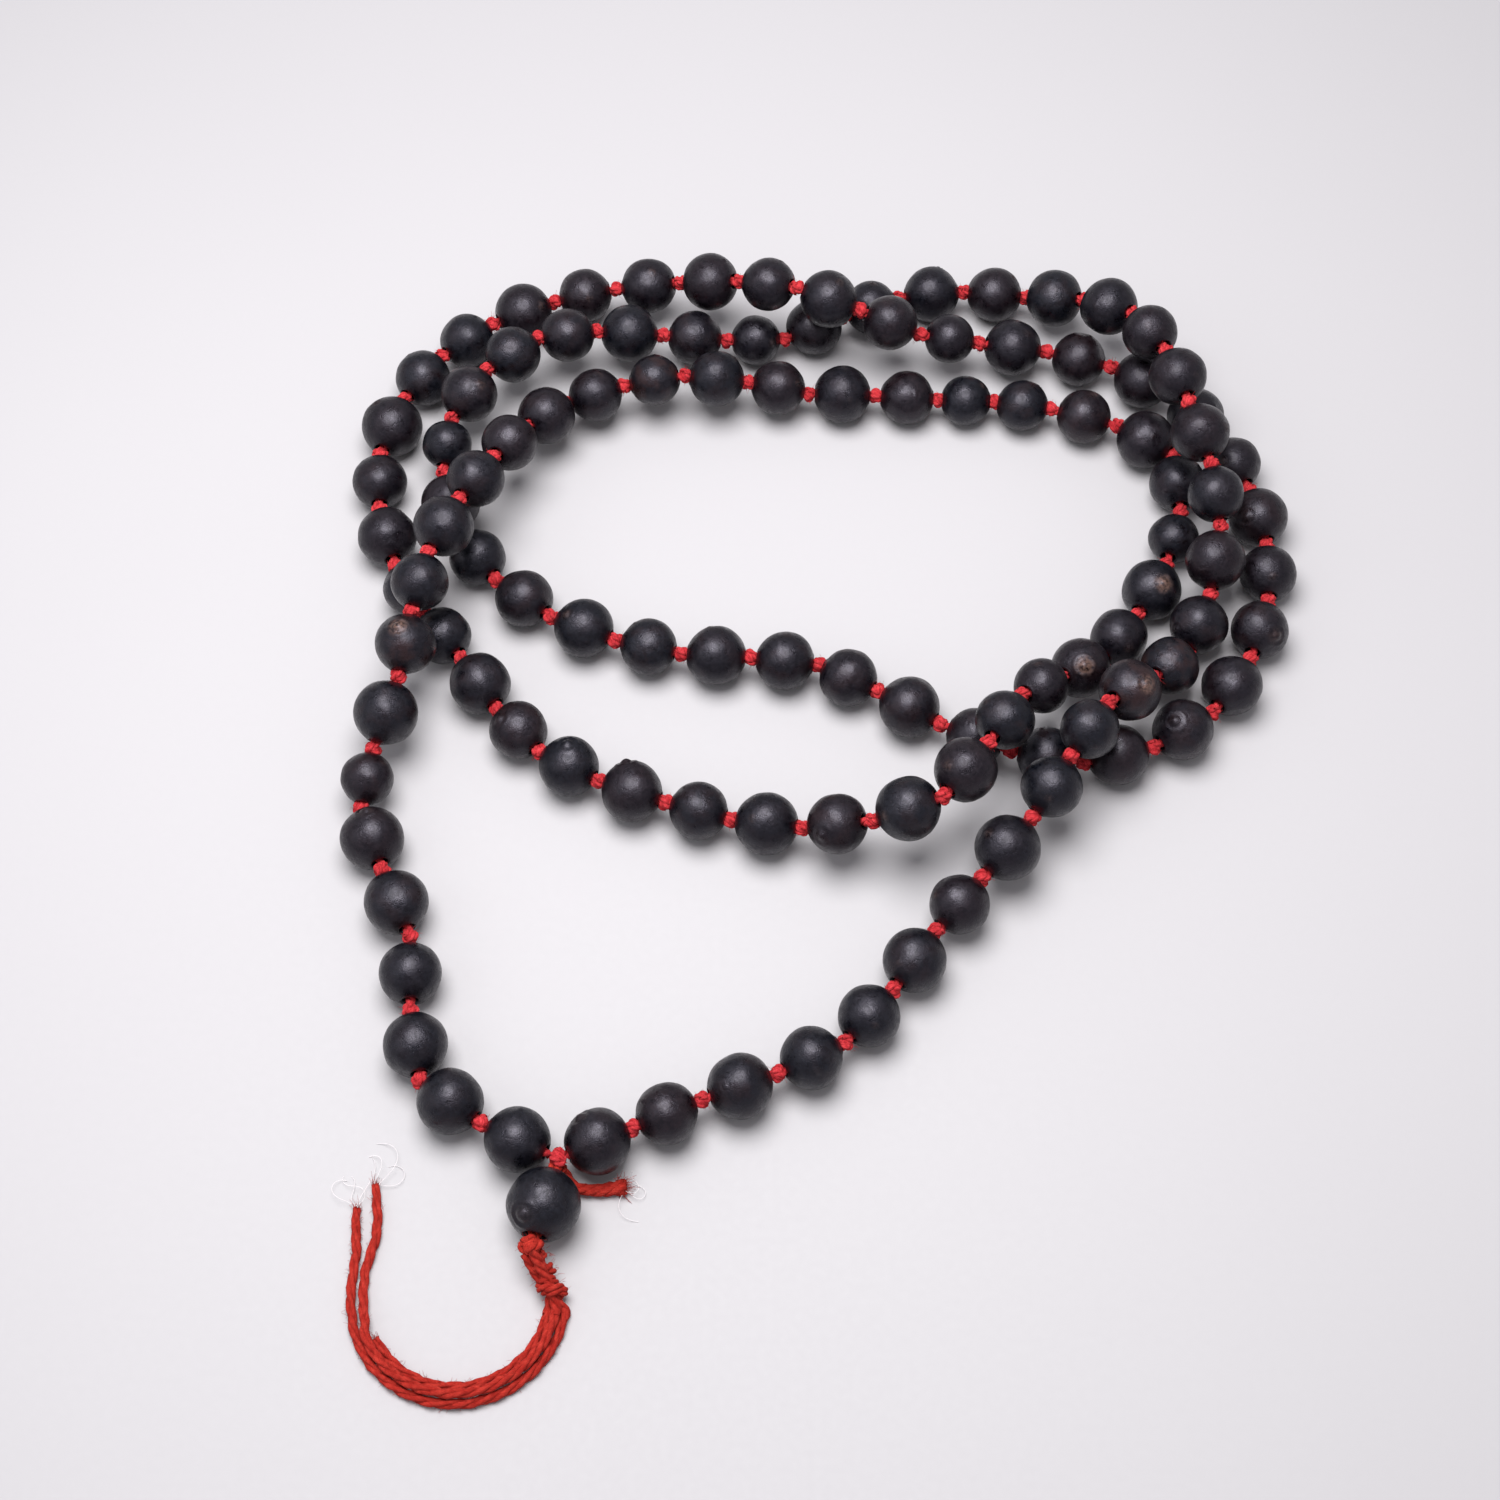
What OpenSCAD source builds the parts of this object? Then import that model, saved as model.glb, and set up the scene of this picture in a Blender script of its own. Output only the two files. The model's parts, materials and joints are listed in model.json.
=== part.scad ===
// Mala: 108 drilled lotus seeds and a guru bead on red cotton yarn, knotted between
// every two seeds and laid down in loops on a table. Millimetres, Z up, table at z = 0.
// The strand is numbered from the junction above the guru bead: seed 1 is the first
// on its left, seed 108 the first on its right, and knot i follows seed i.

/* [Seeds] */
// Usual diameter of a seed
seed_d = 9.5; // [9:0.1:9.6]
// Difference between an ordinary large and an ordinary small seed
seed_spread = 0.6; // [0:0.1:0.7]
// Bore through a seed
bore_d = 2.2; // [2.1:0.1:2.4]
// Width of the chamfer at each mouth of the bore
mouth_d = 3.2; // [2.6:0.1:3.4]
// Height of the stalk scar that stands on a seed's side
scar_h = 0.3; // [0.1:0.05:0.4]

/* [Guru bead] */
// Diameter of the guru bead
guru_d = 10.7; // [10.2:0.1:11.2]
// Bore through the guru bead, which two yarns share
guru_bore_d = 3; // [2.6:0.1:3.4]

/* [Yarn] */
// Diameter of the strand yarn
yarn_d = 1.6; // [1.2:0.1:1.6]
// Diameter of a knot between two seeds
knot_d = 2.4; // [2:0.1:2.6]
// Diameter of the knot where both ends of the strand meet
junction_d = 3.2; // [2.8:0.1:3.4]
// Diameter of the knot under the guru bead
tail_knot_d = 3.6; // [3.4:0.1:4]
// Diameter of one tail yarn
tail_yarn_d = 1.5; // [1.2:0.1:1.6]

/* [Hidden] */
$fn = 48;
seed_count = 108;
black = [0.09, 0.09, 0.1];
red = [0.8, 0.1, 0.07];
// seeds that are clearly smaller or larger than the rest
small_seeds = [7, 16, 21, 22, 26, 30, 42, 55, 78, 84];
large_seeds = [2, 5, 8, 33, 45, 65, 89, 101];
// free play between a seed and its yarn, which lets it settle on the table
play = 0.2;
// clearance of the socket that turns on a knot
socket_gap = 0.05;
// bare yarn between the junction knot and the seed on either side of it
bare = 0.8;
// how near to a knot's centre the yarn runs into it
inside_knot = 0.6;
// hairline between two pieces that lie against each other
touch = 0.02;

// the strand's way over the table: x and y of every second knot, and how high it is
// lifted from where it hangs between seeds that lie flat
route = [
    [-38.5, -71, 0], [-59, -59, 0], [-62, -36, 0], [-71, -14, 0], [-66, 6, 6],
    [-62, 26, 11], [-53, 46, 9], [-42, 63, 1], [-22, 67, 4], [-1, 66, 0],
    [21, 65, 0], [40, 63, 0], [60, 53, 0], [57, 31, 0], [45, 13, 0],
    [31, 1, 9], [18, -18, 11], [-3, -18, 1], [-24, -13, 0], [-44, -4, 0],
    [-57, 13, 0], [-69, 31, 0], [-73, 53, 0], [-64, 74, 0], [-45, 86, 0],
    [-23, 87, 4], [-3, 80, 11], [18, 75, 5], [40, 75, 0], [61, 66, 0],
    [72, 46, 0], [73, 24, 0], [62, 3, 0], [41, -6, 0], [19, 1, 0],
    [0, 12, 0], [-22, 14, 0], [-43, 21, 0], [-59, 37, 0], [-61, 58, 4],
    [-47, 74, 5], [-26, 77, 2], [-5, 78, 0], [15, 87, 0], [37, 87, 0],
    [54, 76, 9], [61, 55, 12], [65, 34, 7], [59, 14, 0], [44, -1, 10],
    [32, -18, 4], [17, -35, 0], [3, -53, 0], [-18, -62, 0], [-38.5, -71, 0],
];

// --- the strand's line -------------------------------------------------------

last = len(route) - 1;
// route point k, or where the route would go on to, past its ends
function point(k) =
    k < 0 ? 2 * route[0] - route[1]
    : k > last ? 2 * route[last] - route[last - 1]
    : route[k];

function among(i, list) = len(search(i, list)) > 0;
function diameter(i) =
    seed_d + seed_spread / 2 * sin(i * 137)
    - (among(i, small_seeds) ? 0.9 : 0)
    + (among(i, large_seeds) ? 0.6 : 0);

// a smooth curve from b to c, which would come from a and go on to d
function curve(a, b, c, d, t) =
    (2 * b + (c - a) * t + (2 * a - 5 * b + 4 * c - d) * t * t
    + (3 * b - a - 3 * c + d) * t * t * t) / 2;
// knot i is route point i / 2 or, for an odd i, divides the curve between two of them
// by the sizes of its two seeds
function laid(i) =
    let (k = floor(i / 2))
        i % 2 == 0 ? route[k]
        : curve(point(k - 1), point(k), point(k + 1), point(k + 2),
            diameter(i) / (diameter(i) + diameter(i + 1)));
// a knot hangs at the mean height of the bores on either side of it
function bore_height(i) =
    (diameter(i == 0 ? seed_count : i) + diameter(i == seed_count ? 1 : i + 1)) / 4;
knots = [
    for (i = [0 : seed_count])
        [laid(i).x, laid(i).y, max(0, laid(i).z) + bore_height(i)]
];

function unit(v) = v / norm(v);
function heading(i) = unit(knots[i] - knots[i - 1]);
function off_centre(i) = i == 1 ? bare / 2 : i == seed_count ? -bare / 2 : 0;
function on_yarn(i) = (knots[i] + knots[i - 1]) / 2 + heading(i) * off_centre(i);
function centre(i) =
    on_yarn(i) + [0, 0, min(play, max(0, diameter(i) / 2 - on_yarn(i).z))];

// --- guru bead and tail ------------------------------------------------------

junction = knots[0];
guru_centre = [-40.2, -78.1, guru_d / 2];
guru_line = unit(guru_centre - junction);
tail_knot = guru_centre + guru_line * (guru_d / 2 + 1);
// the wrap that gathers the tail yarns, from above to below
wrap_from = [-40, -87, 3.2];
wrap_to = [-38.5, -90, 2.2];
wrap_d = 4.2;
// the tail yarns lie in an arc round this point
arc_centre = [-52, -90];
arc_r = 14;
outer_end = [[-67.3, -88], [-67, -84], [-67.3, -80], [-67.5, -77]];
middle_end = [[-65.6, -88], [-65, -84], [-64.3, -81], [-64.5, -77], [-65, -73.5]];
stub_path = [[-37, -73.2, 2], [-36, -74.2, 1.4], [-33, -74.4, 1], [-29, -74, 1]];

function arc(r, z, from, to) = [
    for (a = [from : -12 : to]) [arc_centre.x + r * cos(a), arc_centre.y + r * sin(a), z]
];
function lay(path, z) = [for (p = path) [p.x, p.y, z]];
lying = tail_yarn_d / 2;
stacked = tail_yarn_d / 2 + 1.05;
outer_path = concat(arc(arc_r + 1.2, lying, -8, -176), lay(outer_end, lying));
middle_path = concat(arc(arc_r, stacked, -8, -152), [[-65, -93.5, 1.6]], lay(middle_end, lying));
cut_path = arc(arc_r - 1.2, lying, -8, -152);

// --- shapes ------------------------------------------------------------------

// moves children from the origin to p and turns their Z axis to u
module set_along(p, u) {
    translate(p)
        rotate([0, acos(u.z), atan2(u.y, u.x)])
            children();
}

module rod(a, b, d) {
    set_along(a, unit(b - a))
        cylinder(h = norm(b - a), d = d);
}

// a bore down Z with a chamfer at both mouths, for a ball of diameter d
module bore(d, hole_d, chamfer_d) {
    cylinder(h = d + 2, d = hole_d, center = true);
    for (side = [0, 180])
        rotate([side, 0, 0])
            translate([0, 0, sqrt(d * d - chamfer_d * chamfer_d) / 2 - (chamfer_d - hole_d) / 2])
                cylinder(h = 2, d1 = hole_d - 0.2, d2 = chamfer_d + 1.8);
}

// a drilled seed, with its stalk scar in the upper half
module seed(i) {
    d = diameter(i);
    set_along(centre(i), heading(i))
        difference() {
            union() {
                sphere(d = d);
                rotate([0, 0, 180 + 50 * sin(i * 61)])
                    rotate([0, 65 + 15 * sin(i * 97), 0])
                        translate([0, 0, d / 2 + scar_h - 1.1])
                            sphere(d = 2.2, $fn = 24);
            }
            bore(d, bore_d, mouth_d);
        }
}

module seeds(from, to) {
    color(black)
        for (i = [from : to])
            seed(i);
}

// one knot of the strand, a ball whose seam is turned away from the yarn
module knot(i) {
    way = heading(max(i, 1)) + heading(min(i + 1, seed_count));
    translate(knots[i])
        rotate([0, 0, atan2(way.y, way.x) + 90])
            sphere(d = knot_d, $fn = 32);
}

// the strand between knots i - 1 and i, inside a seed. It begins and ends the given
// distances from the knots' centres.
module strand(i, from = inside_knot, to = inside_knot) {
    rod(knots[i - 1] + from * heading(i), knots[i] - to * heading(i), yarn_d);
}

// yarn of one folding stretch on the left, from the knot it turns on down to knot b
module left_fold(a, b) {
    at_junction = b == 0;
    color(red) {
        strand(a, to = knot_d / 2 + socket_gap);
        strand(a - 1, from = at_junction ? junction_d / 2 + touch : inside_knot);
        knot(a - 1);
        if (!at_junction)
            knot(b);
    }
}

// yarn of one folding stretch on the right, from the knot it turns on up to knot b
module right_fold(a, b) {
    at_junction = b == seed_count;
    color(red) {
        strand(a + 1, from = knot_d / 2 + socket_gap);
        strand(a + 2, to = at_junction ? junction_d / 2 + touch : inside_knot);
        knot(a + 1);
        if (!at_junction)
            knot(b);
    }
}

// a tube of n sides along a path that never runs straight up
function tangent(path, i) = unit(path[min(i + 1, len(path) - 1)] - path[max(i - 1, 0)]);
module tube(path, d, n) {
    rings = [
        for (i = [0 : len(path) - 1])
            let (t = tangent(path, i), side = unit(cross(t, [0, 0, 1])), up = cross(side, t))
                for (k = [0 : n - 1])
                    path[i] + d / 2 * (side * cos(k * 360 / n) + up * sin(k * 360 / n))
    ];
    wall = [
        for (i = [0 : len(path) - 2], k = [0 : n - 1])
            let (m = (k + 1) % n)
                [i * n + k, (i + 1) * n + k, (i + 1) * n + m, i * n + m]
    ];
    start = [for (k = [0 : n - 1]) k];
    end = [for (k = [n - 1 : -1 : 0]) (len(path) - 1) * n + k];
    polyhedron(points = rings, faces = concat(wall, [start], [end]));
}

// --- pieces ------------------------------------------------------------------

module beads_009_to_025() {
    seeds(9, 25);
}

module beads_030_to_033() {
    seeds(30, 33);
}

module beads_039_to_043() {
    seeds(39, 43);
}

module beads_047_to_060() {
    seeds(47, 60);
}

module beads_065_to_069() {
    seeds(65, 69);
}

module beads_074_to_100() {
    seeds(74, 100);
}

module bead_026() {
    seeds(26, 26);
}

module bead_027() {
    seeds(27, 27);
}

module bead_028() {
    seeds(28, 28);
}

module bead_029() {
    seeds(29, 29);
}

module bead_034() {
    seeds(34, 34);
}

module bead_035() {
    seeds(35, 35);
}

module bead_036() {
    seeds(36, 36);
}

module bead_037() {
    seeds(37, 37);
}

module bead_038() {
    seeds(38, 38);
}

module bead_044() {
    seeds(44, 44);
}

module bead_045() {
    seeds(45, 45);
}

module bead_046() {
    seeds(46, 46);
}

module bead_061() {
    seeds(61, 61);
}

module bead_062() {
    seeds(62, 62);
}

module bead_063() {
    seeds(63, 63);
}

module bead_064() {
    seeds(64, 64);
}

module bead_070() {
    seeds(70, 70);
}

module bead_071() {
    seeds(71, 71);
}

module bead_072() {
    seeds(72, 72);
}

module bead_073() {
    seeds(73, 73);
}

module bead_001() {
    seeds(1, 1);
}

module bead_002() {
    seeds(2, 2);
}

module bead_003() {
    seeds(3, 3);
}

module bead_004() {
    seeds(4, 4);
}

module bead_005() {
    seeds(5, 5);
}

module bead_006() {
    seeds(6, 6);
}

module bead_007() {
    seeds(7, 7);
}

module bead_008() {
    seeds(8, 8);
}

module bead_101() {
    seeds(101, 101);
}

module bead_102() {
    seeds(102, 102);
}

module bead_103() {
    seeds(103, 103);
}

module bead_104() {
    seeds(104, 104);
}

module bead_105() {
    seeds(105, 105);
}

module bead_106() {
    seeds(106, 106);
}

module bead_107() {
    seeds(107, 107);
}

module bead_108() {
    seeds(108, 108);
}

module left_cord_1() {
    left_fold(8, 6);
}

module left_cord_2() {
    left_fold(6, 4);
}

module left_cord_3() {
    left_fold(4, 2);
}

module left_cord_4() {
    left_fold(2, 0);
}

module right_cord_1() {
    right_fold(100, 102);
}

module right_cord_2() {
    right_fold(102, 104);
}

module right_cord_3() {
    right_fold(104, 106);
}

module right_cord_4() {
    right_fold(106, 108);
}

module strand_cord() {
    color(red) {
        for (i = [9 : 100])
            strand(i);
        for (i = [8 : 100])
            knot(i);
    }
}

module junction_knot() {
    color(red)
        translate(junction)
            sphere(d = junction_d, $fn = 32);
}

module cord_stub() {
    first = unit(stub_path[0] - junction);
    color(red)
        tube(concat([junction + (junction_d / 2 + touch) * first], stub_path), yarn_d, 8);
}

module guru_bead() {
    color(black)
        set_along(guru_centre, guru_line)
            difference() {
                union() {
                    sphere(d = guru_d, $fn = 64);
                    rotate([0, 0, 210])
                        rotate([0, 48, 0])
                            translate([0, 0, guru_d / 2 + scar_h - 1.4])
                                sphere(d = 2.8, $fn = 24);
                }
                bore(guru_d, guru_bore_d, guru_bore_d + 1);
            }
}

module guru_cord() {
    color(red) {
        rod(junction + (junction_d / 2 + socket_gap) * guru_line, tail_knot - 0.8 * guru_line, 2.4);
        translate(tail_knot)
            sphere(d = tail_knot_d);
    }
}

module tail_wrap() {
    down = unit(wrap_from - tail_knot);
    color(red) {
        rod(tail_knot + (tail_knot_d / 2 + socket_gap) * down, wrap_from, 3);
        translate(wrap_from)
            sphere(d = 3.8);
        rod(wrap_from + 0.4 * unit(wrap_to - wrap_from), wrap_to, wrap_d);
    }
}

module tail_yarn_outer() {
    color(red)
        tube(outer_path, tail_yarn_d, 8);
}

module tail_yarn_middle() {
    color(red)
        tube(middle_path, tail_yarn_d, 8);
}

module tail_yarn_cut() {
    color(red)
        tube(cut_path, tail_yarn_d, 8);
}

beads_009_to_025();
beads_030_to_033();
beads_039_to_043();
beads_047_to_060();
beads_065_to_069();
beads_074_to_100();
bead_026();
bead_027();
bead_028();
bead_029();
bead_034();
bead_035();
bead_036();
bead_037();
bead_038();
bead_044();
bead_045();
bead_046();
bead_061();
bead_062();
bead_063();
bead_064();
bead_070();
bead_071();
bead_072();
bead_073();
bead_001();
bead_002();
bead_003();
bead_004();
bead_005();
bead_006();
bead_007();
bead_008();
bead_101();
bead_102();
bead_103();
bead_104();
bead_105();
bead_106();
bead_107();
bead_108();
strand_cord();
left_cord_1();
left_cord_2();
left_cord_3();
left_cord_4();
right_cord_1();
right_cord_2();
right_cord_3();
right_cord_4();
junction_knot();
cord_stub();
guru_bead();
guru_cord();
tail_wrap();
tail_yarn_outer();
tail_yarn_middle();
tail_yarn_cut();
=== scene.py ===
"""Mala of 108 lotus seeds and a guru bead on knotted red cotton yarn, laid in loops on a pale table.
Lengths are millimetres until a mesh is made, which turns them into metres."""

import json
import math

import bpy
import numpy as np
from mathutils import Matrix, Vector

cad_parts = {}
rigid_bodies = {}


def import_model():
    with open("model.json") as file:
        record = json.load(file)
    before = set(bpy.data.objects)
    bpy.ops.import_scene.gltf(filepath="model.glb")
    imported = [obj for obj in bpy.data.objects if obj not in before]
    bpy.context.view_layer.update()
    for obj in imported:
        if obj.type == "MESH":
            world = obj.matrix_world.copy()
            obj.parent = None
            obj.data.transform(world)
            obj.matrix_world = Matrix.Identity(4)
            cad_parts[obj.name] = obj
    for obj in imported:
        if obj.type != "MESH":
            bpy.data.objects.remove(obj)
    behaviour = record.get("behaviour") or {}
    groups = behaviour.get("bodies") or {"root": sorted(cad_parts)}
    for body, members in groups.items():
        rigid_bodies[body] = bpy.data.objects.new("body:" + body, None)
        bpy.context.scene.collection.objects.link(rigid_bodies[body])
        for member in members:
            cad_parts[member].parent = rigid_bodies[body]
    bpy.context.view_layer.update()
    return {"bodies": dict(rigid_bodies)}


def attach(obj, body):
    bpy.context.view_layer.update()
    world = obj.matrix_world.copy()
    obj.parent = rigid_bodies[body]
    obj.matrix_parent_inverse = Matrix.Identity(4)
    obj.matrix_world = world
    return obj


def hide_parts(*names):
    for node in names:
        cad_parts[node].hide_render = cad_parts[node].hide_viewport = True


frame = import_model()

MM = 0.001
COUNT = 108

# ---------------------------------------------------------------- camera and light

camera_data = bpy.data.cameras.new("camera")
camera_data.lens = 60
camera_data.sensor_width = 36
camera_data.clip_start = 0.01
camera = bpy.data.objects.new("camera", camera_data)
camera.location = (-0.011, -0.1968, 0.3452)
camera.rotation_euler = (math.radians(29.56), 0, 0)
bpy.context.scene.collection.objects.link(camera)
bpy.context.scene.camera = camera


def area_light(name, place, aim, size, watts, colour=(1, 1, 1)):
    data = bpy.data.lights.new(name, "AREA")
    data.shape = "DISK"
    data.size = size
    data.energy = watts
    data.color = colour
    light = bpy.data.objects.new(name, data)
    light.location = place
    light.rotation_euler = (Vector(aim) - Vector(place)).to_track_quat("-Z", "Y").to_euler()
    bpy.context.scene.collection.objects.link(light)


area_light("overhead_softbox", (-0.05, 0.04, 0.40), (-0.01, 0.03, 0), 0.32, 2.65, (1.0, 0.985, 1.0))
area_light("window_fill", (-0.9, -0.2, 0.7), (0, 0, 0), 0.9, 1.5, (0.93, 0.95, 1.0))

world = bpy.data.worlds.new("studio")
world.use_nodes = True
world.node_tree.nodes["Background"].inputs["Color"].default_value = (0.97, 0.95, 1.0, 1)
world.node_tree.nodes["Background"].inputs["Strength"].default_value = 0.47
bpy.context.scene.world = world
bpy.context.scene.view_settings.view_transform = "Standard"

# ---------------------------------------------------------------- the strand's line

# the CAD model's route: x and y of every second knot, and how high it is lifted above
# where it would be if its two seeds lay flat
ROUTE = [
    (-38.5, -71, 0), (-59, -59, 0), (-62, -36, 0), (-71, -14, 0), (-66, 6, 6),
    (-62, 26, 11), (-53, 46, 9), (-42, 63, 1), (-22, 67, 4), (-1, 66, 0),
    (21, 65, 0), (40, 63, 0), (60, 53, 0), (57, 31, 0), (45, 13, 0),
    (31, 1, 9), (18, -18, 11), (-3, -18, 1), (-24, -13, 0), (-44, -4, 0),
    (-57, 13, 0), (-69, 31, 0), (-73, 53, 0), (-64, 74, 0), (-45, 86, 0),
    (-23, 87, 4), (-3, 80, 11), (18, 75, 5), (40, 75, 0), (61, 66, 0),
    (72, 46, 0), (73, 24, 0), (62, 3, 0), (41, -6, 0), (19, 1, 0),
    (0, 12, 0), (-22, 14, 0), (-43, 21, 0), (-59, 37, 0), (-61, 58, 4),
    (-47, 74, 5), (-26, 77, 2), (-5, 78, 0), (15, 87, 0), (37, 87, 0),
    (54, 76, 9), (61, 55, 12), (65, 34, 7), (59, 14, 0), (44, -1, 10),
    (32, -18, 4), (17, -35, 0), (3, -53, 0), (-18, -62, 0), (-38.5, -71, 0),
]
# the CAD model's sizes; KNOT_LOOK is how big a knot of KNOT_D looks with its lobes, BARE is
# the bare yarn beside the junction, and PLAY how far a seed may lift to clear the table
SMALL_SEEDS = (7, 16, 21, 22, 26, 30, 42, 55, 78, 84)
LARGE_SEEDS = (2, 5, 8, 33, 45, 65, 89, 101)
SEED_D = 9.5
BARE = 0.8
PLAY = 0.2
YARN_D = 1.6
KNOT_D = 2.4
KNOT_LOOK = 2.85
TAIL_YARN_D = 1.5
STRAND_PITCH = 3.4
FIBRE_TWIST = 1.6
HAIR_R = 0.022
WISP_R = 0.035


def unit(v):
    v = np.asarray(v, float)
    return v / np.linalg.norm(v)


def curve_through(points, steps):
    """A smooth line through the points, with so many steps between two of them."""
    p = np.asarray(points, float)
    before = np.vstack([p[:1], p[:-2]])
    after = np.vstack([p[2:], p[-1:]])
    t = (np.arange(steps) / steps)[None, :, None]
    a, b, c, d = before[:, None], p[:-1, None], p[1:, None], after[:, None]
    line = (2 * b + (c - a) * t + (2 * a - 5 * b + 4 * c - d) * t**2 + (3 * b - a - 3 * c + d) * t**3) / 2
    return np.vstack([line.reshape(-1, 3), p[-1:]])


def seed_diameter(i):
    d = SEED_D + 0.3 * math.sin(math.radians(i * 137))
    return d - 0.9 * (i in SMALL_SEEDS) + 0.6 * (i in LARGE_SEEDS)


def laid(i):
    """Where knot i lies: on the route or, for an odd i, on the curve between two points."""
    p = np.array(ROUTE, float)
    p = np.vstack([2 * p[0] - p[1], p, 2 * p[-1] - p[-2]])
    if i % 2 == 0:
        return p[i // 2 + 1]
    a, b, c, d = p[i // 2 : i // 2 + 4]
    t = seed_diameter(i) / (seed_diameter(i) + seed_diameter(i + 1))
    return (2 * b + (c - a) * t + (2 * a - 5 * b + 4 * c - d) * t**2 + (3 * b - a - 3 * c + d) * t**3) / 2


def lay_out():
    """Where the strand's knots and seeds are: knots 0 to 108, and for seeds 1 to 108
    their diameter, centre and bore direction, with an unused entry 0."""
    d = np.array([0] + [seed_diameter(i) for i in range(1, COUNT + 1)])
    knots = np.array([laid(i) for i in range(COUNT + 1)])
    left, right = np.append(d[COUNT], d[1:]), np.append(d[1:], d[1])
    knots[:, 2] = np.maximum(knots[:, 2], 0) + (left + right) / 4
    heading = np.vstack([[0, 0, 1], np.diff(knots, axis=0)])
    heading /= np.linalg.norm(heading, axis=1)[:, None]
    centre = np.vstack([[0, 0, 0], (knots[1:] + knots[:-1]) / 2])
    centre[1] += heading[1] * BARE / 2
    centre[COUNT] -= heading[COUNT] * BARE / 2
    centre[1:, 2] += np.clip(d[1:] / 2 - centre[1:, 2], 0, PLAY)
    return knots, d, centre, heading


KNOTS, DIAMETER, CENTRE, HEADING = lay_out()
JUNCTION = KNOTS[0]
GURU_D = 10.7
GURU_CENTRE = np.array([-40.2, -78.1, GURU_D / 2])
GURU_LINE = unit(GURU_CENTRE - JUNCTION)
TAIL_KNOT = GURU_CENTRE + GURU_LINE * (GURU_D / 2 + 1)
WRAP_FROM = np.array([-40, -87, 3.2])
WRAP_TO = np.array([-38.5, -90, 2.2])
ARC_CENTRE = (-52, -90)
ARC_R = 14
STUB = [[-37, -73.2, 2], [-36, -74.2, 1.4], [-33, -74.4, 1], [-29, -74, 1]]

# ---------------------------------------------------------------- mesh building


class Build:
    """Vertices, quads and one vector per vertex, gathered into one mesh."""

    def __init__(self):
        self.points, self.quads, self.looks, self.count = [], [], [], 0

    def add(self, points, quads, look):
        self.points.append(points)
        self.quads.append(quads + self.count)
        self.looks.append(np.broadcast_to(look, (len(points), 3)))
        self.count += len(points)

    def mesh(self, name, material, body, slot, replaces=()):
        points = np.vstack(self.points) * MM
        quads = np.vstack(self.quads)
        data = bpy.data.meshes.new(name)
        data.vertices.add(len(points))
        data.vertices.foreach_set("co", points.astype(np.float32).ravel())
        data.loops.add(quads.size)
        data.loops.foreach_set("vertex_index", quads.astype(np.int32).ravel())
        data.polygons.add(len(quads))
        data.polygons.foreach_set("loop_start", np.arange(0, quads.size, 4, dtype=np.int32))
        data.polygons.foreach_set("use_smooth", np.ones(len(quads), bool))
        data.update(calc_edges=True)
        layer = data.attributes.new("look", "FLOAT_VECTOR", "POINT")
        layer.data.foreach_set("vector", np.vstack(self.looks).astype(np.float32).ravel())
        data.validate()
        data.materials.append(material)
        piece = bpy.data.objects.new(name, data)
        bpy.context.scene.collection.objects.link(piece)
        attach(piece, body)
        if replaces:
            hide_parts(*replaces)
        return piece


def ring_quads(rows, columns, closed_rows=False):
    """Quads of a grid of rows by columns that closes on itself along each row."""
    r, c = np.meshgrid(np.arange(rows if closed_rows else rows - 1), np.arange(columns), indexing="ij")
    r, c = r.ravel(), c.ravel()
    up, right = (r + 1) % rows, (c + 1) % columns
    return np.stack([r * columns + c, r * columns + right, up * columns + right, up * columns + c], 1)


def frames(path):
    """Tangent, side and up at each point of a path, turned as little as possible."""
    tangent = np.gradient(path, axis=0)
    tangent /= np.linalg.norm(tangent, axis=1)[:, None]
    side = np.cross(tangent[0], [0, 0, 1] if abs(tangent[0, 2]) < 0.9 else [1, 0, 0])
    sides = []
    for t in tangent:
        side = side - t * (side @ t)
        side = side / np.linalg.norm(side)
        sides.append(side)
    sides = np.array(sides)
    return tangent, sides, np.cross(sides, tangent)


def resample(path, spacing):
    """The path with points evenly spaced, about so far apart."""
    path = np.asarray(path, float)
    along = np.append(0, np.cumsum(np.linalg.norm(np.diff(path, axis=0), axis=1)))
    at = np.linspace(0, along[-1], max(3, int(along[-1] / spacing) + 1))
    return np.stack([np.interp(at, along, path[:, k]) for k in range(3)], 1)


def add_tube(build, path, radius, sides=8, tone=0.0):
    """A closed tube round a path. radius is a number or one per point. Its look is the
    angle round it and the way along it, for the fibres, both shifted by its tone."""
    path = np.asarray(path, float)
    n = len(path)
    radius = np.broadcast_to(radius, n).astype(float)
    _, side, up = frames(path)
    angle = np.arange(sides) * 2 * math.pi / sides
    ring = side[:, None] * np.cos(angle)[None, :, None] + up[:, None] * np.sin(angle)[None, :, None]
    points = path[:, None] + ring * radius[:, None, None]
    along = np.append(0, np.cumsum(np.linalg.norm(np.diff(path, axis=0), axis=1)))
    turn = angle[None, :] + along[:, None] * FIBRE_TWIST
    look = np.stack([np.cos(turn) + tone * 7, np.sin(turn) + tone * 3,
                     np.repeat(along[:, None], sides, 1) + tone * 11], -1)
    points, look = points.reshape(-1, 3), look.reshape(-1, 3)
    quads = ring_quads(n, sides)
    for row in (0, n - 1):
        first = row * sides
        cap = [[first + k, first + k + 1, first + sides - 2 - k, first + sides - 1 - k]
               for k in range(sides // 2 - 1)]
        quads = np.vstack([quads, np.array(cap)[:, ::-1] if row else np.array(cap)])
    build.add(points, quads, look)


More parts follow.
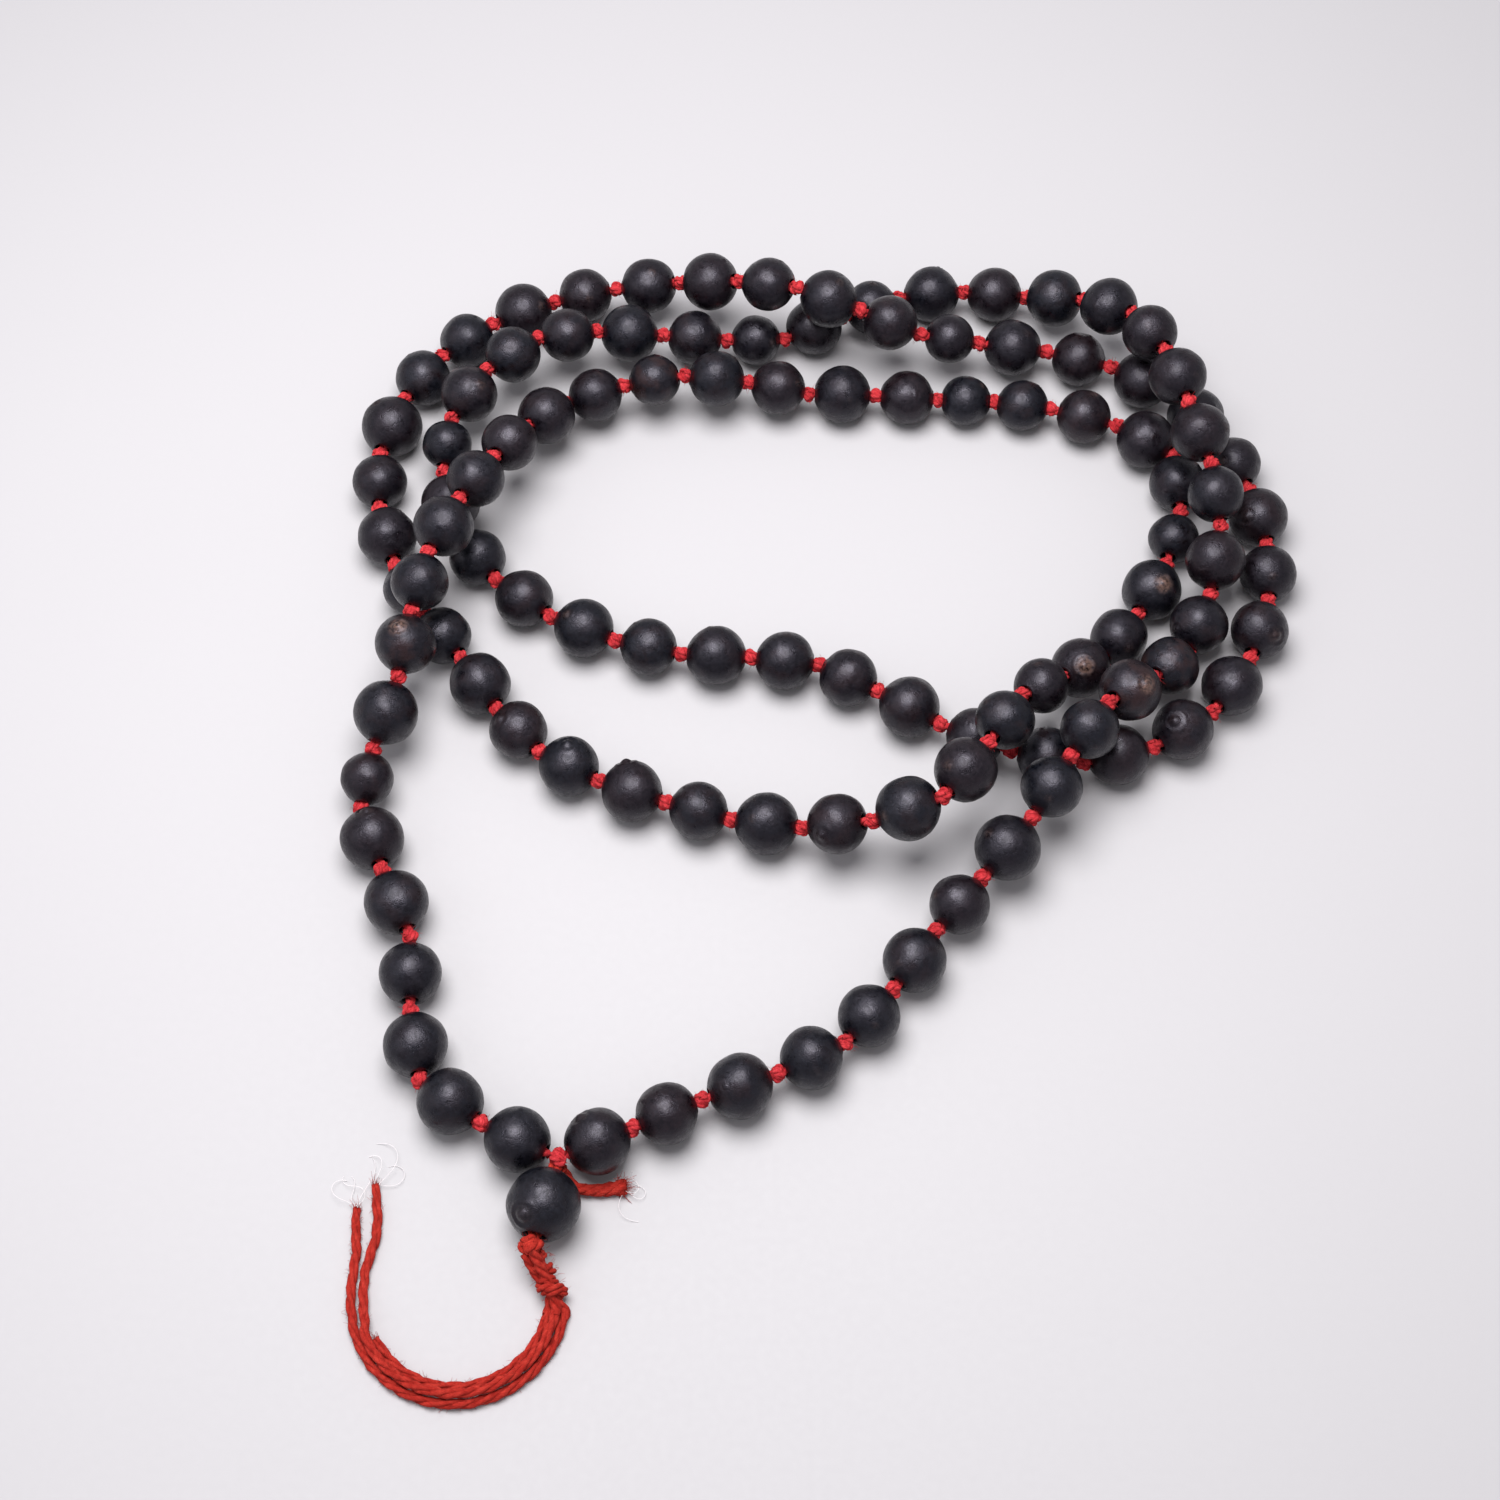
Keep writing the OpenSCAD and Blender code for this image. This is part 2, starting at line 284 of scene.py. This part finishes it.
def add_plies(build, path, yarn_r, plies, pitch, rng, sides=8, phase=0.0, taper=1.0):
    """A yarn of twisted plies along a path. taper scales its thickness, as one number or
    one per point."""
    path = np.asarray(path, float)
    n = len(path)
    along = np.append(0, np.cumsum(np.linalg.norm(np.diff(path, axis=0), axis=1)))
    _, side, up = frames(path)
    ply_r = yarn_r * (0.56 if plies == 2 else 0.52)
    off = yarn_r - ply_r
    scale = np.broadcast_to(taper, n)
    for k in range(plies):
        turn = phase + k * 2 * math.pi / plies + along * 2 * math.pi / pitch
        wobble = 1 + 0.10 * np.sin(along * 1.9 + k * 2.1) + 0.07 * np.sin(along * 4.3 + k)
        line = path + (side * np.cos(turn)[:, None] + up * np.sin(turn)[:, None]) * (off * scale)[:, None]
        add_tube(build, line, ply_r * scale * wobble, sides, tone=rng.random() + k)


def add_hairs(build, places, outward, rng, length, radius=HAIR_R, bend=0.5):
    """Thin loose fibres that stand out of the yarn at the places."""
    for p, out in zip(places, outward):
        reach = length * rng.uniform(0.45, 1.25)
        wander = unit(rng.normal(size=3))
        t = np.linspace(0, 1, 5)[:, None]
        line = p + unit(out) * reach * t + wander * reach * bend * t**2
        line[:, 2] = np.maximum(line[:, 2], radius)
        add_tube(build, line, radius * np.linspace(1, 0.5, 5), 4, tone=rng.random())


def add_wisps(build, place, turn, count, rng):
    """Long thin fibres that curl over the table from a yarn's cut end. turn is the way
    they mostly go, in degrees from +X."""
    t = np.linspace(0, 1, 40)
    for _ in range(count):
        reach = rng.uniform(5.5, 10)
        curl = rng.uniform(0.7, 1.9) * rng.choice([-1, 1])
        start = math.radians(turn) + rng.normal(0, 0.5)
        angle = start + curl * np.sin(t * rng.uniform(2.5, 5.5) + rng.uniform(0, 1.5))
        step = np.stack([np.cos(angle), np.sin(angle), 0 * t], 1) * reach / len(t)
        line = place + rng.normal(0, 0.2, 3) + np.cumsum(step, axis=0)
        line[:, 2] = 0.06 + (place[2] - 0.06) * (1 - t) ** 2 + rng.uniform(0.2, 1.2) * np.sin(math.pi * t)
        add_tube(build, line, WISP_R, 4)


# ---------------------------------------------------------------- materials


class Nodes:
    """A material's node tree, with short calls for the nodes used here."""

    def __init__(self, name):
        self.material = bpy.data.materials.new(name)
        self.material.use_nodes = True
        self.tree = self.material.node_tree
        self.tree.nodes.clear()
        self.shader = self.new("ShaderNodeBsdfPrincipled")
        out = self.new("ShaderNodeOutputMaterial")
        self.link(self.shader.outputs[0], out.inputs["Surface"])

    def new(self, kind, **settings):
        node = self.tree.nodes.new(kind)
        for key, value in settings.items():
            setattr(node, key, value)
        return node

    def link(self, a, b):
        self.tree.links.new(a, b)

    def put(self, socket, value):
        if isinstance(value, bpy.types.NodeSocket):
            self.link(value, socket)
        else:
            socket.default_value = value

    def noise(self, vector, scale, detail=3.0, rough=0.5, distortion=0.0):
        node = self.new("ShaderNodeTexNoise")
        self.link(vector, node.inputs["Vector"])
        node.inputs["Scale"].default_value = scale
        node.inputs["Detail"].default_value = detail
        node.inputs["Roughness"].default_value = rough
        node.inputs["Distortion"].default_value = distortion
        return node.outputs[0]

    def math(self, kind, a, b):
        node = self.new("ShaderNodeMath", operation=kind)
        for socket, value in zip(node.inputs, (a, b)):
            self.put(socket, value)
        return node.outputs[0]

    def span(self, value, low, high, to_low=0.0, to_high=1.0):
        node = self.new("ShaderNodeMapRange")
        for socket, v in zip(node.inputs, (value, low, high, to_low, to_high)):
            self.put(socket, v)
        return node.outputs[0]

    def mix(self, share, a, b):
        node = self.new("ShaderNodeMix", data_type="RGBA")
        self.put(node.inputs[0], share)
        self.put(node.inputs[6], a)
        self.put(node.inputs[7], b)
        return node.outputs[2]

    def bump(self, height, distance, strength=1.0, under=None):
        node = self.new("ShaderNodeBump")
        self.link(height, node.inputs["Height"])
        node.inputs["Distance"].default_value = distance
        node.inputs["Strength"].default_value = strength
        if under is not None:
            self.link(under, node.inputs["Normal"])
        return node.outputs[0]

    def look(self):
        node = self.new("ShaderNodeAttribute", attribute_name="look")
        return node.outputs["Vector"]

    def split(self, vector):
        node = self.new("ShaderNodeSeparateXYZ")
        self.link(vector, node.inputs[0])
        return node.outputs

    def stretch(self, vector, scale):
        node = self.new("ShaderNodeVectorMath", operation="MULTIPLY")
        self.link(vector, node.inputs[0])
        node.inputs[1].default_value = scale
        return node.outputs[0]


def seed_material():
    """Satin black lotus seed: blue-black to brown-black, faintly mottled, with a tan scar."""
    m = Nodes("lotus_seed_black")
    scar, tone, warm = m.split(m.look())
    place = m.new("ShaderNodeTexCoord").outputs["Object"]
    cloud = m.noise(place, 330, 4, 0.55)
    mottle = m.noise(place, 1500, 3, 0.6, 0.6)
    grain = m.noise(place, 5200, 2, 0.6)
    cool = m.mix(m.span(mottle, 0.35, 0.7), (0.0008, 0.0011, 0.0022, 1), (0.0030, 0.0042, 0.0072, 1))
    brown = m.mix(m.span(mottle, 0.35, 0.7), (0.0026, 0.0011, 0.0022, 1), (0.0088, 0.0042, 0.0058, 1))
    share = m.span(m.math("ADD", m.math("MULTIPLY", cloud, 0.6), m.math("MULTIPLY", tone, 0.8)), 0.45, 1.15)
    body = m.mix(share, cool, brown)
    patch = m.math("MULTIPLY", m.span(cloud, 0.46, 0.62), warm)
    body = m.mix(m.math("MULTIPLY", patch, 0.55), body, (0.026, 0.010, 0.008, 1))
    bark = m.mix(m.span(mottle, 0.35, 0.65), (0.020, 0.012, 0.010, 1), (0.15, 0.088, 0.068, 1))
    colour = m.mix(m.math("MULTIPLY", scar, m.span(mottle, 0.25, 0.5, 0.35, 1.0)), body, bark)
    m.link(colour, m.shader.inputs["Base Color"])
    smudge = m.noise(place, 720, 4, 0.62, 0.8)
    worn = m.math("ADD", m.math("MULTIPLY", smudge, 0.65), m.math("MULTIPLY", mottle, 0.35))
    rough = m.span(worn, 0.38, 0.62, 0.23, 0.54)
    m.link(rough, m.shader.inputs["Roughness"])
    m.shader.inputs["Specular IOR Level"].default_value = 0.37
    m.shader.inputs["Coat Weight"].default_value = 0.12
    m.shader.inputs["Coat Roughness"].default_value = 0.22
    m.shader.inputs["Specular Tint"].default_value = (0.89, 0.84, 1.0, 1)
    soft = m.bump(smudge, 0.00012, 0.6, m.bump(mottle, 0.00008, 0.7))
    m.link(m.bump(grain, 0.00005, 0.9, soft), m.shader.inputs["Normal"])
    return m.material


def yarn_material(name, shaded_low, shaded_high, lit_low, lit_high):
    """Red cotton: long twisted fibres, with painted shade in the grooves between fibres and painted highlight
    on the raised fibres.
    """
    m = Nodes(name)
    look = m.look()
    place = m.new("ShaderNodeTexCoord").outputs["Object"]
    fibre = m.noise(m.stretch(look, (5.5, 5.5, 1.2)), 1.0, 3, 0.65, 0.4)
    clump = m.noise(place, 900, 3, 0.6)
    shaded_fibre = m.mix(m.span(clump, 0.3, 0.7), shaded_low, shaded_high)
    lit_fibre = m.mix(m.span(clump, 0.3, 0.7), lit_low, lit_high)
    # painted shade and painted highlight: where the fibre pattern is low (its grooves, as the bump shows) the
    # yarn gets the dark shaded colours, where it is high the bright lit colours
    m.link(m.mix(m.span(fibre, 0.34, 0.66), shaded_fibre, lit_fibre), m.shader.inputs["Base Color"])
    m.link(m.span(fibre, 0.3, 0.7, 0.95, 0.78), m.shader.inputs["Roughness"])
    m.shader.inputs["Specular IOR Level"].default_value = 0.12
    m.shader.inputs["Sheen Weight"].default_value = 0.05
    m.shader.inputs["Sheen Roughness"].default_value = 0.45
    m.shader.inputs["Sheen Tint"].default_value = (1.0, 0.22, 0.15, 1)
    lumps = m.bump(clump, 0.0001, 0.5)
    m.link(m.bump(fibre, 0.00014, 0.9, lumps), m.shader.inputs["Normal"])
    return m.material


def thread_material():
    """Pale translucent fibre that has worked loose at the yarn ends."""
    m = Nodes("pale_loose_fibre")
    shade = m.noise(m.new("ShaderNodeTexCoord").outputs["Object"], 800, 2)
    m.link(m.mix(shade, (0.78, 0.72, 0.72, 1), (0.95, 0.93, 0.93, 1)), m.shader.inputs["Base Color"])
    m.link(m.span(shade, 0.3, 0.7, 0.4, 0.6), m.shader.inputs["Roughness"])
    return m.material


SEED = seed_material()
# each yarn's colours: first two painted-shade colours for the fibre grooves, then two painted-highlight
# colours for the raised fibres
YARN = yarn_material("red_cotton_yarn", (0.17, 0.004, 0.008, 1), (0.38, 0.014, 0.022, 1),
                     (0.58, 0.026, 0.034, 1), (0.84, 0.080, 0.090, 1))
TAIL = yarn_material("red_cotton_tail", (0.19, 0.008, 0.006, 1), (0.32, 0.014, 0.009, 1),
                     (0.43, 0.019, 0.012, 1), (0.60, 0.055, 0.036, 1))
THREAD = thread_material()

# ---------------------------------------------------------------- tail yarns


def arc(r, z, start, stop):
    """Points of the arc that the tail yarns lie in, at height z, between two angles."""
    angle = np.radians(np.arange(start, stop - 1, -12))
    return [[ARC_CENTRE[0] + r * math.cos(a), ARC_CENTRE[1] + r * math.sin(a), z] for a in angle]


def lay(points, z):
    """Flat points at height z."""
    return [[x, y, z] for x, y in points]


LYING = TAIL_YARN_D / 2
STACKED = LYING + 1.05
END_HAIRS = 26
HAIRS_PER_STEP = 3.2
TAIL_PITCH = 9.5
OUTER = arc(ARC_R + 1.2, LYING, -8, -176) + lay([(-67.3, -88), (-67, -84), (-67.3, -80), (-67.5, -77)], LYING)
MIDDLE = arc(ARC_R, STACKED, -8, -152) + [[-65, -93.5, 1.6]]
MIDDLE += lay([(-65.6, -88), (-65, -84), (-64.3, -81), (-64.5, -77), (-65, -73.5)], LYING)
CUT = arc(ARC_R - 1.2, LYING, -8, -152)


def tail_yarn(name, points, node, seed, wisps=0):
    """A three-ply tail yarn, with so many long wisps at its end."""
    rng = np.random.default_rng(seed)
    line = resample(curve_through(points, 8), 0.35)
    steps = len(line)
    t = np.linspace(0, 1, steps)
    taper = 1 - 0.18 * np.clip((t - 0.93) / 0.07, 0, 1)
    build = Build()
    add_plies(build, line, TAIL_YARN_D / 2, 3, TAIL_PITCH, rng, 10, seed, taper)
    tangent, side, up = frames(line)
    at = rng.integers(3, steps - 2, int(steps * HAIRS_PER_STEP))
    turn = rng.uniform(0, 2 * math.pi, len(at))
    out = side[at] * np.cos(turn)[:, None] + up[at] * np.sin(turn)[:, None]
    lean = tangent[at] * rng.normal(0, 2.2, len(at))[:, None]
    add_hairs(build, line[at] + out * 0.6, out + lean, rng, 0.6, 0.028, 0.7)
    brush = (END_HAIRS, 3)
    ends = line[-1] + rng.normal(0, 0.28, brush) - tangent[-1] * 0.6
    add_hairs(build, ends, tangent[-1] + rng.normal(0, 0.28, brush), rng, 1.5, 0.03, 0.3)
    piece = build.mesh(name, TAIL, "tail", "red_yarn", (node,))
    extra = []
    if wisps:
        build = Build()
        add_wisps(build, line[-1], 120, wisps, rng)
        extra = [build.mesh(name + "_wisps", THREAD, "tail", "red_yarn")]
    return line


outer_line = tail_yarn("outer_tail_yarn", OUTER, "tail_yarn_outer", 1, 4)
middle_line = tail_yarn("middle_tail_yarn", MIDDLE, "tail_yarn_middle", 2, 3)
cut_line = tail_yarn("cut_tail_yarn", CUT, "tail_yarn_cut", 3)

# ---------------------------------------------------------------- knots and strand


def knot_path(size, count=64):
    """The closed line of a pulled-tight knot round the Z axis, about size across."""
    t = np.linspace(0, 2 * math.pi, count, endpoint=True)
    r = 0.21 * size + 0.115 * size * np.cos(3 * t)
    return np.stack([r * np.cos(2 * t), r * np.sin(2 * t), 0.22 * size * np.sin(3 * t)], 1)


def turned(points, z_axis, angle=0.0):
    """Points turned by angle about Z and then with their Z along z_axis."""
    z = unit(z_axis)
    x = unit(np.cross([0, 0, 1] if abs(z[2]) < 0.9 else [1, 0, 0], z))
    y = np.cross(z, x)
    c, s = math.cos(angle), math.sin(angle)
    return points @ np.array([c * x + s * y, -s * x + c * y, z])


def add_knot(build, place, axis, size, rng, hairs=26):
    """A pulled-tight knot about size across: its closed line of yarn round a solid heart
    that runs along the axis, with loose fibres."""
    path = turned(knot_path(size), axis, rng.uniform(0, 2 * math.pi))
    path = path * rng.uniform(0.95, 1.08, 3) + place
    add_plies(build, path, 0.185 * size, 2, 1.7 * size / KNOT_D, rng, 8, rng.uniform(0, 6))
    u = np.linspace(-0.98, 0.98, 9)
    heart = place + turned(np.stack([0 * u, 0.03 * size * np.sin(3 * u), 0.40 * size * u], 1), axis)
    heart_r = 0.37 * size * np.sqrt(1 - u**2) * rng.uniform(0.94, 1.04, 9)
    add_tube(build, heart, heart_r, 12, tone=rng.random())
    out = np.array([unit(rng.normal(size=3)) for _ in range(hairs)])
    add_hairs(build, place + out * size * 0.38, out, rng, 0.34 * size / KNOT_D + 0.1, 0.03, 0.9)


def add_strand(build, i, rng, start=0.5, stop=0.5):
    """The yarn between knots i - 1 and i."""
    a = KNOTS[i - 1] + HEADING[i] * start
    b = KNOTS[i] - HEADING[i] * stop
    add_plies(build, resample([a, b], 0.55), YARN_D / 2, 2, STRAND_PITCH, rng, 8, i)


rng = np.random.default_rng(20)
for first, last in ((9, 39), (40, 70), (71, 100)):
    build = Build()
    for i in range(first, last + 1):
        add_strand(build, i, rng)
    for i in range(8 if first == 9 else first, last + 1):
        add_knot(build, KNOTS[i], HEADING[i] + HEADING[i + 1], KNOT_LOOK, rng)
    build.mesh(f"pile_strand_{first:03d}_to_{last:03d}", YARN, "pile", "red_yarn", ("strand_cord",))

PIVOT_GAP = KNOT_D / 2 - 0.15
for k, (left, right) in enumerate([(8, 100), (6, 102), (4, 104), (2, 106)], 1):
    body = f"fold_{k}_yarn"
    build = Build()
    add_strand(build, left, rng, 0.5, PIVOT_GAP)
    add_strand(build, left - 1, rng, 1.3 if k == 4 else 0.5)
    add_knot(build, KNOTS[left - 1], HEADING[left] + HEADING[left - 1], KNOT_LOOK, rng)
    if k < 4:
        add_knot(build, KNOTS[left - 2], HEADING[left - 1] + HEADING[left - 2], KNOT_LOOK, rng)
    build.mesh(f"left_strand_{k}", YARN, body, "red_yarn", (f"left_cord_{k}",))
    build = Build()
    add_strand(build, right + 1, rng, PIVOT_GAP, 0.5)
    add_strand(build, right + 2, rng, 0.5, 1.3 if k == 4 else 0.5)
    add_knot(build, KNOTS[right + 1], HEADING[right + 1] + HEADING[right + 2], KNOT_LOOK, rng)
    if k < 4:
        add_knot(build, KNOTS[right + 2], HEADING[right + 2] + HEADING[right + 3], KNOT_LOOK, rng)
    build.mesh(f"right_strand_{k}", YARN, body, "red_yarn", (f"right_cord_{k}",))

build = Build()
add_knot(build, JUNCTION, unit(HEADING[1] * -1 + HEADING[COUNT] * -1 + [0, 0, 0.4]), 3.3, rng, 30)
build.mesh("loop_junction_knot", YARN, "fold_4_yarn", "red_yarn", ("junction_knot",))

STUB_HAIRS = 60
STUB_END_HAIRS = 110
build = Build()
stub_line = resample(curve_through([JUNCTION + [0.6, -1.2, -0.9]] + STUB, 8), 0.35)
t = np.linspace(0, 1, len(stub_line))
flare = 1 + 0.55 * t**2
add_plies(build, stub_line, YARN_D / 2, 4, 7.0, rng, 10, 0, flare)
_, side, up = frames(stub_line)
at = rng.integers(6, len(stub_line), STUB_HAIRS)
turn = rng.uniform(0, 2 * math.pi, STUB_HAIRS)
out = side[at] * np.cos(turn)[:, None] + up[at] * np.sin(turn)[:, None]
add_hairs(build, stub_line[at] + out * 0.6, out, rng, 0.55)
brush = (STUB_END_HAIRS, 3)
end = stub_line[-1] + rng.normal(0, 0.42, brush) * [0.7, 1, 0.8] + [-1.1, 0, 0.15]
outward = np.array([1, 0.1, 0]) + rng.normal(0, 0.42, brush)
add_hairs(build, end, outward, rng, 1.9, 0.045, 0.35)
build.mesh("cut_yarn_stub", TAIL, "fold_4_yarn", "red_yarn", ("cord_stub",))
build = Build()
add_wisps(build, stub_line[-1], -5, 3, rng)
build.mesh("cut_yarn_stub_wisps", THREAD, "fold_4_yarn", "red_yarn")

build = Build()
guru_start = JUNCTION + GURU_LINE * 1.2
for side_step in (-0.45, 0.45):
    shift = unit(np.cross(GURU_LINE, [0, 0, 1])) * side_step
    line = resample([guru_start + shift, TAIL_KNOT + shift - GURU_LINE * 0.9], 0.5)
    add_plies(build, line, 0.6, 2, STRAND_PITCH, rng)
add_knot(build, TAIL_KNOT, GURU_LINE, 3.7, rng, 34)
build.mesh("guru_yarns_and_tail_knot", TAIL, "guru_yarn", "red_yarn", ("guru_cord",))

build = Build()
starts = np.array([[-0.9, -0.9, -0.4], [0.2, -0.9, 0.9], [0.7, -1.0, -0.5]])
for k, (start, end) in enumerate(zip(starts, (outer_line, middle_line, cut_line))):
    middle = (WRAP_FROM + WRAP_TO) / 2
    through = [TAIL_KNOT + start, WRAP_FROM + start * 0.9, middle + start * 0.6, end[0], end[3]]
    add_plies(build, resample(curve_through(through, 12), 0.35), 0.78, 3, 5.5, rng, 10, k)
WRAP_HAIRS = 90
down = unit(WRAP_FROM - TAIL_KNOT)
core = resample(curve_through([TAIL_KNOT + down * 1.1, WRAP_FROM, WRAP_TO + [0.2, -0.6, 0]], 12), 0.12)
t = np.linspace(0, 1, len(core))
_, side, up = frames(core)
for turns, start, width in ((3.6, 0.0, 1.25), (2.3, 2.4, 1.45)):
    turn = start + t * turns * 2 * math.pi
    reach = width + 0.25 * np.sin(t * 7 + start) - 0.75 * (1 - t) ** 2
    coil = core + (side * np.cos(turn)[:, None] + up * np.sin(turn)[:, None]) * reach[:, None]
    coil[:, 2] = np.maximum(coil[:, 2], 0.6)
    add_plies(build, resample(coil, 0.3), 0.62, 2, 4.2, rng, 8, start)
at = rng.integers(0, len(core), WRAP_HAIRS)
turn = rng.uniform(0, 2 * math.pi, WRAP_HAIRS)
out = side[at] * np.cos(turn)[:, None] + up[at] * np.sin(turn)[:, None]
add_hairs(build, core[at] + out * 1.7, out, rng, 0.5, 0.03, 0.8)
build.mesh("tail_gathering_wrap", TAIL, "tail", "red_yarn", ("tail_wrap",))

# ---------------------------------------------------------------- seeds

COLUMNS = 64
ROWS = 46
BORE_R = 1.1
MOUTH_R = 1.28


def seed_profile(d, bore_r, mouth_r):
    """Radius and height of a drilled ball's closed outline, and whether each row is outside."""
    r = d / 2
    first = math.asin((mouth_r + 0.12) / r)
    theta = np.linspace(first, math.pi - first, ROWS)
    rho, z = list(r * np.sin(theta)), list(r * np.cos(theta))
    lip = r * math.cos(first)
    down = [(mouth_r, -lip + 0.10), (bore_r + 0.12, -lip + 0.55), (bore_r, -lip + 0.95)]
    wall = [(bore_r, h) for h in np.linspace(-lip + 1.6, lip - 1.6, 3)]
    rest = down + wall + [(a, -h) for a, h in reversed(down)]
    outside = np.array([True] * ROWS + [False] * len(rest))
    return np.array(rho + [a for a, _ in rest]), np.array(z + [h for _, h in rest]), outside


def add_seed(build, centre, heading, d, rng, scar_turn, scar_tilt, scar_size, warm, pale,
             bore_r=BORE_R, mouth_r=MOUTH_R):
    """A drilled lotus seed: a ball with slow lumps, a few dents and a stalk scar. The scar
    lies scar_tilt degrees from the bore, scar_turn degrees round it. warm reddens the skin
    and pale shows the scar's bark."""
    rho, z, outside = seed_profile(d, bore_r, mouth_r)
    angle = np.arange(COLUMNS) * 2 * math.pi / COLUMNS
    points = np.stack([rho[:, None] * np.cos(angle), rho[:, None] * np.sin(angle),
                       np.repeat(z[:, None], COLUMNS, 1)], -1).reshape(-1, 3)
    skin = np.repeat(outside, COLUMNS)
    way = points / np.linalg.norm(points, axis=1)[:, None]
    lift = np.zeros(len(points))
    for wave, height in ((0.55, 0.035), (0.9, 0.03), (1.6, 0.012), (3.2, 0.005)):
        for _ in range(3):
            lift += height * np.cos(way @ (rng.normal(size=3) * wave * 3) + rng.uniform(0, 6.3))
    for _ in range(3):
        away = np.arccos(np.clip(way @ unit(rng.normal(size=3)), -1, 1))
        lift -= rng.uniform(0.02, 0.07) * np.exp(-(away / rng.uniform(0.2, 0.45)) ** 2)
    lift -= 0.05
    t, a = math.radians(scar_tilt), math.radians(scar_turn)
    scar = np.array([math.sin(t) * math.cos(a), math.sin(t) * math.sin(a), math.cos(t)])
    off = np.arccos(np.clip(way @ scar, -1, 1)) * d / 2 / scar_size
    ripple = 1 + 0.25 * np.cos(way @ (rng.normal(size=3) * 9))
    lift += scar_size * (0.30 * np.exp(-(off / 0.55) ** 2) - 0.09 * np.exp(-((off - 0.85) / 0.22) ** 2)
                         + 0.10 * ripple * np.exp(-((off - 1.2) / 0.2) ** 2))
    lift = np.where(skin, lift, 0)
    edge = np.clip((rho[:, None] - mouth_r) / 0.5, 0, 1).repeat(COLUMNS, 1).reshape(-1)
    points = points + way * (lift * edge)[:, None]
    oval = 1 + rng.uniform(-0.02, 0.01)
    points[:, 0] *= np.where(skin, oval, 1)
    marked = np.exp(-(off / 1.05) ** 4) * pale * skin
    look = np.stack([marked, np.full(len(points), rng.uniform(0, 1)), np.full(len(points), warm)], 1)
    z_axis = unit(heading)
    x_axis = unit(np.cross(np.cross(z_axis, [0, 0, -1]), z_axis))
    y_axis = np.cross(z_axis, x_axis)
    points = points @ np.array([x_axis, y_axis, z_axis]) + centre
    build.add(points, ring_quads(len(rho), COLUMNS, True)[:, ::-1], look)


# seeds whose scar stands out, shows tan bark, or whose skin is reddish
BOLD_SCARS = (6, 9, 27, 29, 34, 37, 38, 39, 59, 61, 63, 65, 98, 108)
TAN_SCARS = (9, 27, 29, 98)
REDDISH_SEEDS = (9, 16, 97, 98)


def strand_seed(build, i):
    """Seed i of the strand, with its own random numbers."""
    rng = np.random.default_rng(1000 + i)
    add_seed(build, CENTRE[i], HEADING[i], DIAMETER[i], rng,
             180 + 50 * math.sin(math.radians(i * 61)), 65 + 15 * math.sin(math.radians(i * 97)),
             scar_size=1.35 if i in BOLD_SCARS else rng.uniform(0.5, 0.85),
             warm=0.95 if i in REDDISH_SEEDS else rng.uniform(0, 0.35),
             pale=1.0 if i in TAN_SCARS else 0.25 * rng.random() ** 2)


for first, last in ((9, 25), (30, 33), (39, 43), (47, 60), (65, 69), (74, 100)):
    build = Build()
    for i in range(first, last + 1):
        strand_seed(build, i)
    run = f"{first:03d}_to_{last:03d}"
    build.mesh("seeds_" + run, SEED, "pile", "lotus_seed", ("beads_" + run,))

for body in frame["bodies"]:
    if body.startswith("seed_"):
        build = Build()
        strand_seed(build, int(body[5:]))
        build.mesh("lotus_" + body, SEED, body, "lotus_seed", ("bead_" + body[5:],))

build = Build()
add_seed(build, GURU_CENTRE, GURU_LINE, GURU_D, np.random.default_rng(7), 210, 48,
         scar_size=1.6, warm=0.1, pale=0.06, bore_r=1.5, mouth_r=1.75)
build.mesh("guru_seed", SEED, "guru", "lotus_seed", ("guru_bead",))

# ---------------------------------------------------------------- table top

TABLE_SIZE = 6
# painted light on the table: how far from the mala, in metres, it starts to be painted paler, and where it is
# fully paler
PAINTED_LIGHT_FROM = 0.26
PAINTED_LIGHT_TO = 0.9


def floor():
    """The plain table, in metres: a pale grey, painted paler far from the mala as painted light where the
    lamps' light falls off.
    """
    m = Nodes("pale_table_top")
    place = m.new("ShaderNodeTexCoord").outputs["Object"]
    tint = m.noise(place, 6, 2, 0.5)
    speck = m.noise(place, 900, 2, 0.5)
    near = m.mix(tint, (0.455, 0.445, 0.455, 1), (0.475, 0.468, 0.475, 1))
    away = m.new("ShaderNodeVectorMath", operation="LENGTH")
    m.link(place, away.inputs[0])
    painted_light = m.span(away.outputs["Value"], PAINTED_LIGHT_FROM, PAINTED_LIGHT_TO)
    # painted light: far from the mala the table is painted paler, where the lamps' light falls off
    m.link(m.mix(painted_light, near, (0.86, 0.85, 0.86, 1)), m.shader.inputs["Base Color"])
    m.link(m.span(speck, 0.3, 0.7, 0.62, 0.72), m.shader.inputs["Roughness"])
    bpy.ops.mesh.primitive_plane_add(size=TABLE_SIZE, location=(0, 0, 0))
    top = bpy.context.object
    top.name = "table_top"
    top.data.materials.append(m.material)


floor()
